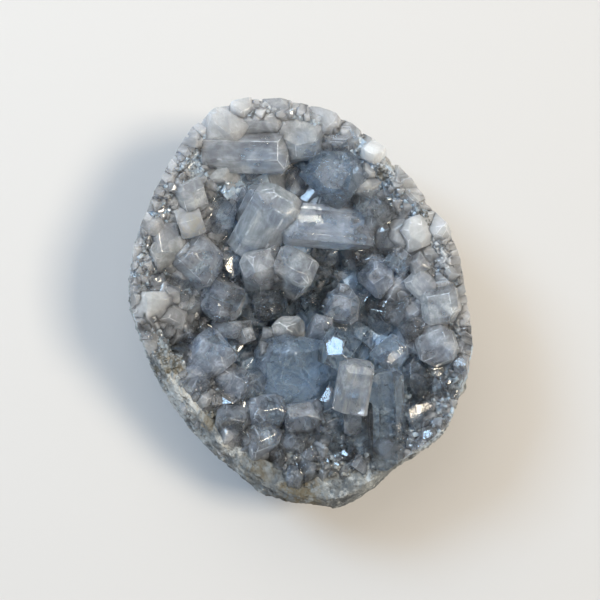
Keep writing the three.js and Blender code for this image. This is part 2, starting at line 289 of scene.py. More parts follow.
@dataclass(frozen=True)
class CelestiteFinish:
    """Clear pale blue-grey crystal with milky clouds, lengthwise striations and an etched skin."""

    name: str = "celestite"
    clear: Colour = (0.985, 0.995, 1.0, 1)
    absorbed: Colour = (0.35, 0.62, 0.84, 1)
    absorption: float = 20.0
    milk_dark: Colour = srgb(126, 146, 166)
    milk_pale: Colour = srgb(238, 243, 255)
    ivory: Colour = srgb(214, 208, 190)
    glow_reach: float = 3.0
    cloud_size: float = 6.0
    # What makes a place milky rather than clear: the start, and what adds to it or takes from it.
    cloudiness: float = -0.06
    clouds: float = 0.2
    veils: float = 0.12
    feathers: float = 0.1
    pale_milk: float = 0.18
    clearing: float = 0.3
    # Painted rim glow: how much milkier a face is made where it is seen edge-on.
    painted_rim_milk: float = 0.35
    # Worn edges made milky: partly real frosted wear, partly a painted highlight line along the edge.
    worn_and_glint_milk: float = 0.3
    # The skin's relief.
    striation_height: float = 0.012
    etching_height: float = 0.012
    terraces: float = 16
    terrace_height: float = 0.006
    wave_height: float = 0.03

    def material(self) -> bpy.types.Material:
        """Wire the material.

        Returns:
            The material, clear with a tint in its depth, and milky where its clouds and veils are, with a
            painted milky glow on faces seen edge-on and painted light lines on worn edges.
        """
        graph = Graph(self.name)
        place = graph.place()
        growth = graph.attribute("growth", "Vector")
        look = graph.node("ShaderNodeSeparateXYZ", {}, {0: graph.attribute("look", "Vector")})
        pale, warm, clarity = look, look.output("Y"), look.output("Z")
        # Worn edges: real wear in the roughness, and a painted highlight line where they turn milky.
        worn_and_glint_edge = graph.attribute("worn_and_glint_edge", "Fac") * graph.noise(place, 3.5, 2).step(0.52, 0.62)
        # Painted rim glow: faces seen at a grazing angle get a paler, milkier colour that stands in for
        # light glowing at the crystals' edges.
        painted_rim_glow = graph.node("ShaderNodeLayerWeight", {}, {"Blend": 0.45}, "Facing")
        cloud = graph.noise(place, self.cloud_size, 5, 0.6, 0.6)
        veil = graph.noise(graph.stretched(growth, (1, 1, 0.3)), 2.0, 4, 0.6, 1.2)
        crack = graph.noise(graph.stretched(growth, (1, 1, 0.45)), 2.6, 4, 0.62, 1.6)
        feather = graph.ridge(crack, 0.5, 0.09) * cloud.step(0.5, 0.66)
        fibre = graph.noise(graph.stretched(growth, (1, 1, 0.04)), 0.5, 2, 0.5)
        tone = cloud * 0.25 + veil * 0.25 + fibre * 0.08 + pale * 0.3
        tone = tone + feather * self.feathers + painted_rim_glow**2 * 0.2
        milk = graph.blend(tone.step(0.0, 0.75), self.milk_dark, self.milk_pale)
        milk = graph.blend(warm.clamped() * veil.step(0.25, 0.7), milk, self.ivory)
        etched = graph.noise(place, 0.9, 4, 0.65)
        normal = graph.bump(self.relief(graph, place, growth, etched))
        roughness = etched.step(0.35, 0.75, 0.02, 0.12) + worn_and_glint_edge * 0.2
        glass = graph.surface(
            Base_Color=self.clear,
            Roughness=roughness,
            IOR=CELESTITE_INDEX,
            Transmission_Weight=1.0,
            Normal=normal,
        )
        cloudy = graph.surface(
            Base_Color=milk,
            Roughness=roughness + 0.14,
            IOR=CELESTITE_INDEX,
            Subsurface_Weight=1.0,
            Subsurface_Radius=(1.0, 1.0, 1.0),
            Subsurface_Scale=self.glow_reach * MM,
            Subsurface_Anisotropy=0.4,
            Normal=normal,
        )
        inside = cloud.step(0.35, 0.7) * self.clouds + veil.step(0.4, 0.75) * self.veils
        inside = inside + feather * self.feathers
        share = self.cloudiness + inside + pale * self.pale_milk - clarity * self.clearing
        share = share + painted_rim_glow**3 * self.painted_rim_milk + worn_and_glint_edge * self.worn_and_glint_milk
        mixed = graph.node("ShaderNodeMixShader", {}, {0: share.clamped(), 1: glass, 2: cloudy})
        depth = {"Color": self.absorbed, "Density": self.absorption}
        return graph.finish(mixed, graph.node("ShaderNodeVolumeAbsorption", {}, depth))

    def relief(self, graph: Graph, place: Wire, growth: Wire, etched: Wire) -> Wire:
        """Wire the height of the skin.

        Args:
            graph: The material's graph.
            place: The place on the object.
            growth: The place in the crystal's own directions.
            etched: The noise that the etching follows.

        Returns:
            The height in millimetres.
        """
        striations = graph.noise(graph.stretched(growth, (1, 1, 0.05)), 0.35, 3, 0.6)
        levels = graph.noise(growth, 3.0, 2, 0.5) * self.terraces
        terraces = graph.node("ShaderNodeMath", {"operation": "FLOOR"}, {0: levels})
        waves = graph.noise(place, 2.2, 2, 0.5)
        height = striations * self.striation_height + etched * self.etching_height
        return height + terraces * self.terrace_height + waves * self.wave_height


@dataclass(frozen=True)
class MatrixFinish:
    """The nodule itself: chalky stained rind that passes into cloudy massive celestite."""

    name: str = "matrix"
    deep: Colour = srgb(150, 173, 196)
    blue: Colour = srgb(192, 209, 226)
    frosted: Colour = srgb(228, 236, 242)
    beige: Colour = srgb(136, 140, 140)
    grey: Colour = srgb(94, 99, 102)
    chalk: Colour = srgb(216, 218, 215)
    soil: Colour = srgb(94, 87, 68)
    # Painted shade: a near-black colour for the shade in small pits of the rind.
    painted_pit_shade: Colour = srgb(58, 57, 54)
    glow_reach: float = 2.0
    chip_size: float = 1.7
    grain_size: float = 0.7
    # How strong each layer of colour is.
    chalkiness: float = 0.75
    pit_shade_strength: float = 0.8
    staining: float = 0.85
    feathers: float = 0.5

    def material(self) -> bpy.types.Material:
        """Wire the material.

        Returns:
            The material, which passes from rock to celestite by an attribute of the mesh.
        """
        graph = Graph(self.name)
        place = graph.place()
        ground = graph.node("ShaderNodeSeparateXYZ", {}, {0: graph.attribute("ground", "Vector")})
        # The frost channel is also lowered in the open gaps, as painted shade.
        crystalline, frost, stain = ground, ground.output("Y"), ground.output("Z")
        broad = graph.noise(place, 8, 4, 0.6)
        middle = graph.noise(place, 2.6, 5, 0.7)
        fine = graph.noise(place, 0.9, 4, 0.7)
        chips = self.chips(graph, place, self.chip_size)
        grains = self.chips(graph, place, self.grain_size)
        soiled = (stain * middle.step(0.4, 0.6)).step(0.05, 0.6) * self.staining
        chalky = (middle * 0.7 + fine * 0.3 + frost * 0.3).step(0.48, 0.66) * self.chalkiness
        # Painted shade: dark spots, set by noise, that stand for the shade in the rind's pits.
        pit_shade_mask = (fine * 0.5 + graph.noise(place, 3.4, 5, 0.75) * 0.5).step(0.51, 0.63) * self.pit_shade_strength
        rind = graph.blend(broad.step(0.35, 0.65), self.grey, self.beige)
        for share, colour in ((chalky, self.chalk), (pit_shade_mask, self.painted_pit_shade), (soiled, self.soil)):
            rind = graph.blend(share, rind, colour)
        frosty = (middle * 0.6 + fine * 0.4 + frost * 0.32).step(0.6, 0.95)
        feather = graph.ridge(graph.noise(place, 4.5, 4, 0.65, 1.5), 0.5, 0.03) * self.feathers
        massive = graph.blend((broad + fine * 0.5).step(0.45, 1.0), self.deep, self.blue)
        for share, colour in ((frosty, self.frosted), (soiled, self.soil), (feather, self.frosted)):
            massive = graph.blend(share, massive, colour)
        relief = chips * 0.5 + grains * 0.3 + fine * 0.25
        rock = graph.surface(Base_Color=rind, Roughness=0.85, IOR=1.5, Normal=graph.bump(relief))
        crystal = graph.surface(
            Base_Color=massive,
            Roughness=fine.step(0.7, 0.3, 0.05, 0.3),
            IOR=CELESTITE_INDEX,
            Subsurface_Weight=1.0,
            Subsurface_Radius=(1.0, 1.0, 1.0),
            Subsurface_Scale=self.glow_reach * MM,
            Normal=graph.bump(chips * 0.3 + grains * 0.12 + fine * 0.03),
        )
        mask = (crystalline + (middle - 0.5) * 0.9).step(0.35, 0.65)
        return graph.finish(graph.node("ShaderNodeMixShader", {}, {0: mask, 1: rock, 2: crystal}))

    @staticmethod
    def chips(graph: Graph, place: Wire, size: float) -> Wire:
        """Wire the height of a surface of tilted flat chips.

        Args:
            graph: The material's graph.
            place: Where it is read.
            size: The chips' size in millimetres.

        Returns:
            The height in millimetres.
        """
        subtract, project = {"operation": "SUBTRACT"}, {"operation": "DOT_PRODUCT"}
        cell = graph.node("ShaderNodeTexVoronoi", {}, {"Vector": place, "Scale": 1 / size}, "Position")
        tilt = graph.node("ShaderNodeVectorMath", subtract, {0: cell.output("Color"), 1: (0.5, 0.5, 0.5)})
        away = graph.node("ShaderNodeVectorMath", subtract, {0: place, 1: cell})
        return graph.node("ShaderNodeVectorMath", project, {0: tilt, 1: away}, "Value")


@dataclass(frozen=True)
class FloorFinish:
    """Plain pale matt floor."""

    name: str = "floor"
    tone: Colour = (0.62, 0.61, 0.60, 1)

    def material(self) -> bpy.types.Material:
        """Return the material."""
        graph = Graph(self.name)
        return graph.finish(graph.surface(Base_Color=self.tone, Roughness=0.8))


# ---- Form of the nodule -------------------------------------------------------------------------------


def around(values: tuple[float, ...], angle: float) -> float:
    """Return the value at an angle of a smooth closed curve.

    Args:
        values: The curve's values, spread evenly round the circle.
        angle: Radians from +X.

    Returns:
        The value there.
    """
    place = angle / (2 * math.pi) % 1 * len(values)
    step = math.floor(place)
    t = place - step
    a, b, c, d = (values[(step + k) % len(values)] for k in (-1, 0, 1, 2))
    return b + 0.5 * t * (c - a + t * (2 * a - 5 * b + 4 * c - d + t * (3 * (b - c) + d - a)))


@dataclass(frozen=True)
class Patch:
    """A soft round spot on the nodule's upper face."""

    x: float
    y: float
    reach: float
    strength: float = 1.0

    def at(self, place: Vector) -> float:
        """Return its strength at a place."""
        away = math.hypot(place.x - self.x, place.y - self.y) / self.reach
        return self.strength * max(0.0, 1 - away * away)


def patched(patches: tuple[Patch, ...], place: Vector) -> float:
    """Return the strength of the strongest of some spots at a place."""
    return max(patch.at(place) for patch in patches)


# Open gaps between the crystals, which also get painted shade in the nodule's colour, sugary white crusts,
# and brown and yellowish stains, by x, y and reach.
GAPS_AND_PAINTED_SHADE = (
    Patch(-20, -6.5, 6.5),
    Patch(4, 7, 4.5),
    Patch(-4, 28, 4),
    Patch(-6, 15, 3.5),
    Patch(3, 25, 4.5),
    Patch(-27, -9.5, 4),
    Patch(8, 9, 5, 0.6),
    Patch(-8.8, -37.5, 5, 0.8),
)
FROSTS = (
    Patch(-10.7, 38.6, 5.5),
    Patch(-29.8, -3.5, 5.5),
    Patch(-22.7, -2, 3, 0.8),
    Patch(24.8, 1.6, 5),
    Patch(22.1, 12.1, 3.5, 0.8),
    Patch(31, 9, 6),
    Patch(1.7, -31.6, 6, 0.7),
    Patch(-19.8, -19.8, 4, 0.7),
    Patch(-26, -21, 6, 0.6),
    Patch(19, 28, 6, 0.7),
    Patch(27, -24, 6, 0.5),
    Patch(33, -4, 5, 0.6),
)
STAINS = (
    Patch(16.4, 26.3, 6, 0.55),
    Patch(11.9, 14.8, 2.6, 1.2),
    Patch(26.8, 15.4, 4.5, 1.1),
    Patch(18.7, 11, 3.5, 0.7),
    Patch(27.9, -15.2, 5, 1.0),
    Patch(-29.1, -15.2, 6, 0.9),
    Patch(3.4, -25.5, 2.5, 0.8),
    Patch(-0.4, -44.3, 7, 1.0),
    Patch(-8.8, -37.5, 6, 0.4),
    Patch(-20, -27, 6, 0.5),
)


@dataclass(frozen=True)
class Bowl:
    """The nodule's outline and the bowl in it, by angle from +X; the rows of eight go by 45 degrees."""

    outline_radii: tuple[float, ...] = (
        *(36.8, 36.5, 35.6, 35.6, 37.5, 40.2, 43.2, 45.6, 45.3, 42.1, 39.8, 38.9),
        *(38.5, 37.2, 37.1, 37.4, 39.8, 43.0, 46.3, 46.4, 43.2, 43.9, 41.4, 39.3),
    )
    rim_heights: tuple[float, ...] = (33, 35, 36, 35, 33, 30.5, 28, 30)
    rim_insets: tuple[float, ...] = (2.6, 3.3, 3.8, 2.7, 1.4, 3.2, 2.2, 1.4)
    walls: tuple[float, ...] = (1.5, 1.4, 1.4, 1.4, 1.6, 2, 4.9, 2)
    grain_starts: tuple[float, ...] = (0.88, 0.82, 0.94, 0.88, 0.87, 0.84, 0.8, 0.8)
    covers: tuple[float, ...] = (1, 0.8, 1, 0.7, 0.9, 0.1, 0, 0.8)  # how much crust lies over the rim
    widest_height: float = 22.5
    crust_middle: float = 23
    crust_power: float = 2.3
    crust_lift: float = 0.6  # how far the crust's edge stands over the rim
    lap: float = 0.05  # the share, from the mouth on, in which the face crosses the rim
    lap_fall: float = 0.5
    flank: float = 0.1  # the share after that in which it goes down to the widest height
    gap_depth: float = 5
    bare_depth: float = 1.5  # how deep the crust's edge keeps where no crust lies over the rim

    def outline(self, angle: float) -> float:
        """Return the radius of the widest outline."""
        return around(self.outline_radii, angle)

    def rim_radius(self, angle: float) -> float:
        """Return the radius of the rim's outer edge."""
        return self.outline(angle) - around(self.rim_insets, angle)

    def rim_height(self, angle: float) -> float:
        """Return the height of the rim's outer edge."""
        return around(self.rim_heights, angle)

    def radius(self, angle: float) -> float:
        """Return the radius of the bowl's mouth."""
        return self.rim_radius(angle) - around(self.walls, angle)

    def face(self, angle: float, share: float) -> Vector:
        """Return a place on the nodule's upper face.

        Args:
            angle: Radians from +X.
            share: Share of the mouth's radius; past 1 it crosses the rim, and then goes down the flank.

        Returns:
            The place.
        """
        rim = self.rim_height(angle) + self.crust_lift
        lap_end = 1 + self.lap
        if share <= 1:
            radius = share * self.radius(angle)
            height = self.crust_middle + (rim - self.crust_middle) * share**self.crust_power
        elif share <= lap_end:
            crossed = (share - 1) / self.lap
            radius = self.radius(angle) + crossed * around(self.walls, angle)
            height = rim - crossed * self.lap_fall
        else:
            down = min(1.0, (share - lap_end) / self.flank)
            radius = self.rim_radius(angle) + around(self.rim_insets, angle) * (1 - (1 - down) ** 2)
            height = rim - self.lap_fall - down * (rim - self.widest_height)
        return Vector((radius * math.cos(angle), radius * math.sin(angle), height))

    def crust(self, place: Vector, share: float) -> float:
        """Return how far the massive crust stands over the face at a place.

        Args:
            place: The place on the face.
            share: Its share of the mouth's radius.

        Returns:
            The height, which is less than 0 where the crust lies deeper.
        """
        large = (1 - ramp(share, 0.7, 0.2)) * (0.7 * chips(place, 7) + 0.6)
        broken = large + 0.5 * chips(place, 3) + 0.3 * chips(place, 1.2)
        sunk = self.bare_depth * (1 - self.cover(place)) * ramp(share, 0.95, 0.05)
        return broken - self.gap_depth * patched(GAPS_AND_PAINTED_SHADE, place) - sunk

    def share(self, place: Vector) -> float:
        """Return the share of the mouth's radius at a place."""
        return math.hypot(place.x, place.y) / self.radius(math.atan2(place.y, place.x))

    def cover(self, place: Vector) -> float:
        """Return how much crust lies over the rim at a place."""
        return around(self.covers, math.atan2(place.y, place.x))

    def tangent(self, angle: float, share: float) -> tuple[Vector, Vector]:
        """Return a place on a smaller outline and the direction straight out of it.

        Args:
            angle: Radians from +X.
            share: The smaller outline's share of the whole one.

        Returns:
            The place and the direction.
        """
        out = Vector((math.cos(angle), math.sin(angle), 0))
        radius, step = self.outline(angle), 0.02
        growth = (self.outline(angle + step) - self.outline(angle - step)) / (2 * step) / radius
        return out * radius * share, (out - Vector((-out.y, out.x, 0)) * growth).normalized()


# ---- Crystals -----------------------------------------------------------------------------------------


@dataclass(frozen=True)
class Look:
    """How one crystal differs from the others."""

    pale: float = 0.0  # from -1 for dark to 1
    warm: float = 0.0  # 1 for ivory
    clear: float = 0.0  # from -1 for milky to 1 for water clear


@dataclass(frozen=True)
class Crystal:
    """One blocky crystal, by its tip's place, its turn, its size and its crown."""

    SPARE: ClassVar[float] = 1.1  # the uncut block's share of the crystal's width and depth
    SIDES: ClassVar[Pair] = (0.92, 1.02)  # where its side faces may lie, as a share
    CROWNS: ClassVar[Pair] = (0.7, 1.25)  # how its end face may differ, as a share
    SWAY: ClassVar[float] = 7  # how its domes' slopes may differ, in degrees
    CORNERS: ClassVar[Pair] = (1.3, 1.8)  # where its upright corners may be cut; at 2 they are whole
    CHIPS: ClassVar[int] = 9  # how often the corners round its tip are shaved

    tip: Triple
    turn: Triple  # heading, lean from upright towards it, and roll, in degrees
    size: Triple  # length, width and depth
    crown: Pair  # the end face's shares of depth and width
    look: Look = Look()
    blunt: bool = True
    seed: int = 0
    steps: int = 0  # how many smaller ones grew on it
    wear: float = 0.02  # how deep its corners are dissolved, as a share of its size
    facets: tuple[Triple, ...] = ()  # faces in place of the domes: plan direction, reach and steepness
    dome_slopes: Pair = (48, 38)

    def matrix(self) -> Matrix:
        """Work out how the crystal stands.

        Returns:
            The matrix that sets it in its place.
        """
        heading, lean, roll = (math.radians(value) for value in self.turn)
        leaned = Matrix.Rotation(heading, 4, "Z") @ Matrix.Rotation(lean, 4, "Y")
        return Matrix.Translation(Vector(self.tip)) @ (leaned @ Matrix.Rotation(roll, 4, "Z"))

    def axis(self) -> Vector:
        """Return the direction from its root to its tip."""
        return direction(math.radians(self.turn[0]), math.radians(self.turn[1]))

    def covers(self, place: Vector, room: float) -> bool:
        """Return whether a place in the plan is under or in the crystal.

        Args:
            place: The place, at the height of the crust there.
            room: The share of the crystal's width that counts.

        Returns:
            Whether it is covered.
        """
        axis, stops = self.axis(), 7
        for k in range(stops + 1):
            centre = Vector(self.tip) - axis * (self.size[0] * k / stops)
            if k and centre.z < place.z:
                return False
            if math.hypot(centre.x - place.x, centre.y - place.y) < room * self.size[1]:
                return True
        return False

    def body(self) -> bmesh.types.BMesh:
        """Cut the crystal's block, with its end face at the origin and its root below.

        Returns:
            The closed block, not yet placed.
        """
        chance = Chance(self.seed)
        length, width, depth = self.size
        half_depth, half_width = depth / 2, width / 2
        block = bmesh.new()
        bmesh.ops.create_cube(block, size=1)
        bmesh.ops.scale(block, vec=(depth * self.SPARE, width * self.SPARE, length), verts=block.verts)
        bmesh.ops.translate(block, vec=(0, 0, -length / 2), verts=block.verts)
        for heading, reach, steepness in self.facets:
            turned = math.radians(heading - self.turn[0] - self.turn[2])
            cut(block, (math.cos(turned), math.sin(turned), 1 / math.tan(math.radians(steepness))), reach)
        for side in (1, -1):
            cut(block, (side, 0, 0), half_depth * chance.between(*self.SIDES))
            cut(block, (0, side, 0), half_width * chance.between(*self.SIDES))
            if self.facets:
                continue
            sways = [chance.between(-self.SWAY, self.SWAY) for _ in self.dome_slopes]
            slopes = [math.radians(slope + sway) for slope, sway in zip(self.dome_slopes, sways)]
            shares = [share * chance.between(*self.CROWNS) for share in self.crown]
            cut(block, (side, 0, 1 / math.tan(slopes[0])), shares[0] * half_depth)
            cut(block, (0, side, 1 / math.tan(slopes[1])), shares[1] * half_width)
            if self.blunt:
                for other in (1, -1):
                    cut(block, (side / half_depth, other / half_width, 0), chance.between(*self.CORNERS))
        self.dissolve(block, chance)
        return block

    def dissolve(self, block: bmesh.types.BMesh, chance: Chance) -> None:
        """Shave the corners round the tip.

        Args:
            block: The crystal's block.
            chance: Where the cuts' directions and depths come from.
        """
        apart = 360 / self.CHIPS
        for k in range(self.CHIPS if self.wear else 0):
            turn = math.radians(apart * k + chance.between(-apart / 2, apart / 2))
            out = direction(turn, math.radians(chance.between(15, 80)))
            reach = max(corner.co.dot(out) for corner in block.verts)
            cut(block, out, reach - self.wear * self.size[1] * chance.between(0.2, 2.2))


def cut(block: bmesh.types.BMesh, normal: Triple | Vector, distance: float) -> None:
    """Cut off what lies beyond a plane and close the cut.

    Args:
        block: The block.
        normal: The plane's normal, of any length.
        distance: The normal's product with the places on the plane.
    """
    outward = Vector(normal)
    everything = block.verts[:] + block.edges[:] + block.faces[:]
    bmesh.ops.bisect_plane(
        block,
        geom=everything,
        dist=1e-5,
        plane_co=outward * (distance / outward.length_squared),
        plane_no=outward.normalized(),
        clear_outer=True,
    )
    rim = [edge for edge in block.edges if edge.is_boundary]
    if rim:
        bmesh.ops.holes_fill(block, edges=rim)


@dataclass
class Grove:
    """A mesh that crystals are added to one by one."""

    bowl: Bowl
    edge: float  # width of the worn edges, as a share of the crystal's
    edge_segments: int = 2
    sharp: float = 0.15  # faces that meet at more than this, in radians, have a worn edge
    merge: float = 0.25  # corners closer than this become one
    overhang: float = 0.975  # share of the outline where crystals are broken off
    overhang_sides: int = 36
    mesh: bmesh.types.BMesh = field(default_factory=bmesh.new)

    def add(self, crystal: Crystal) -> None:
        """Add a crystal, broken off at the outline, with its edges worn and its growth written on it.

        Args:
            crystal: The crystal.
        """
        block = crystal.body()
        matrix = crystal.matrix()
        bmesh.ops.transform(block, matrix=matrix, verts=block.verts)
        self.trim(block)
        bmesh.ops.remove_doubles(block, verts=block.verts, dist=self.merge)
        sharp = [edge for edge in block.edges if edge.is_manifold and edge.calc_face_angle() > self.sharp]
        bevelled = bmesh.ops.bevel(
            block,
            geom=sharp,
            offset=self.edge * crystal.size[1],
            offset_type="OFFSET",
            segments=self.edge_segments,
            profile=0.5,
            affect="EDGES",
            material=-1,
            clamp_overlap=True,
        )
        bevels = set(bevelled["faces"])
        # Bevelled corners are marked for real wear and for a painted highlight line along the edge.
        worn_and_glint_edge = block.verts.layers.float.new("worn_and_glint_edge")
        growth = block.verts.layers.float_vector.new("growth")
        look = block.verts.layers.float_vector.new("look")
        back = matrix.inverted()
        for corner in block.verts:
            corner[growth] = back @ corner.co
            corner[worn_and_glint_edge] = float(bevels.issuperset(corner.link_faces))
            corner[look] = (crystal.look.pale, crystal.look.warm, crystal.look.clear)
        copied = bpy.data.meshes.new("block")
        block.to_mesh(copied)
        block.free()
        self.mesh.from_mesh(copied)
        bpy.data.meshes.remove(copied)

    def trim(self, block: bmesh.types.BMesh) -> None:
        """Break off what hangs out over the nodule's outline.

        Args:
            block: The crystal, in its place.
        """
        for k in range(self.overhang_sides):
            angle = math.radians(360 / self.overhang_sides * k)
            place, out = self.bowl.tangent(angle, self.overhang)
            limit = place.dot(out)
            if any(corner.co.dot(out) > limit for corner in block.verts):
                cut(block, out, limit)

    def piece(self, name: str, material: bpy.types.Material) -> bpy.types.Object:
        """Turn the mesh into a finished piece."""
        return make_piece(name, self.mesh, material)


def make_piece(name: str, shape: bmesh.types.BMesh, material: bpy.types.Material) -> bpy.types.Object:
    """Turn a shape in the construction's millimetres into an object in metres that rides on the root.

    Args:
        name: The piece's name.
        shape: The shape, which is freed.
        material: Its material.

    Returns:
        The object.
    """
    bmesh.ops.translate(shape, vec=-OUTLINE_MIDDLE, verts=shape.verts)
    bmesh.ops.scale(shape, vec=(MM, MM, MM), verts=shape.verts)
    mesh = bpy.data.meshes.new(name)
    shape.to_mesh(mesh)
    shape.free()
    mesh.materials.append(material)
    piece = bpy.data.objects.new(name, mesh)
    bpy.context.scene.collection.objects.link(piece)
    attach(piece, "root")
    log.info("%s: %d faces", name, len(mesh.polygons))
    return piece


MAIN_SHIFT = Vector((0, -0.9, 0))  # from the tips in the next table to the tips in the bowl

